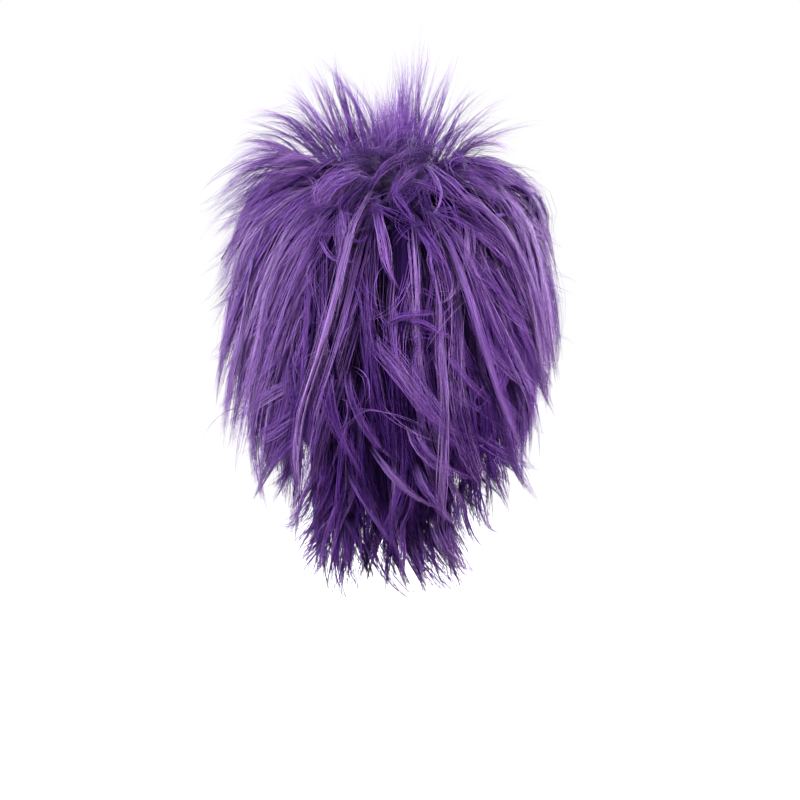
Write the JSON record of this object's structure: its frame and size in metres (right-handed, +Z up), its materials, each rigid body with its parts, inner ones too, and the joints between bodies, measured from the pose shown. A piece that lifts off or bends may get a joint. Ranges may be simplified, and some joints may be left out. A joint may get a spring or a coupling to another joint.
{
  "type": "short wig",
  "caption": "Short spiky wig for an adult head: an open-wefted cap with a bound edge, layered pointed locks that flick out at their tips, a spiked crown and a tapered nape.",
  "frame": {"origin": "where the top of the wearer's head touches the inside of the cap", "axes": "+Z up out of the crown, -Y towards the wearer's face, +X towards the wearer's left ear"},
  "size_m": [0.2207, 0.2463, 0.3403],
  "materials": {
    "cap_net": "matte net with sewn tracks",
    "cap_binding": "matte woven binding",
    "hair": "satin synthetic fibre, darker at the roots"
  },
  "bodies": {
    "root": {"cap": "cap_net", "edge_band": "cap_binding", "nape_weft": "hair", "lower_back_weft": "hair", "mid_back_weft": "hair", "upper_back_weft": "hair", "crown_weft": "hair", "top_weft": "hair", "left_temple_weft": "hair", "right_temple_weft": "hair", "fringe_under_weft": "hair", "fringe_over_weft": "hair", "crown_spikes": "hair"}
  },
  "joints": []
}
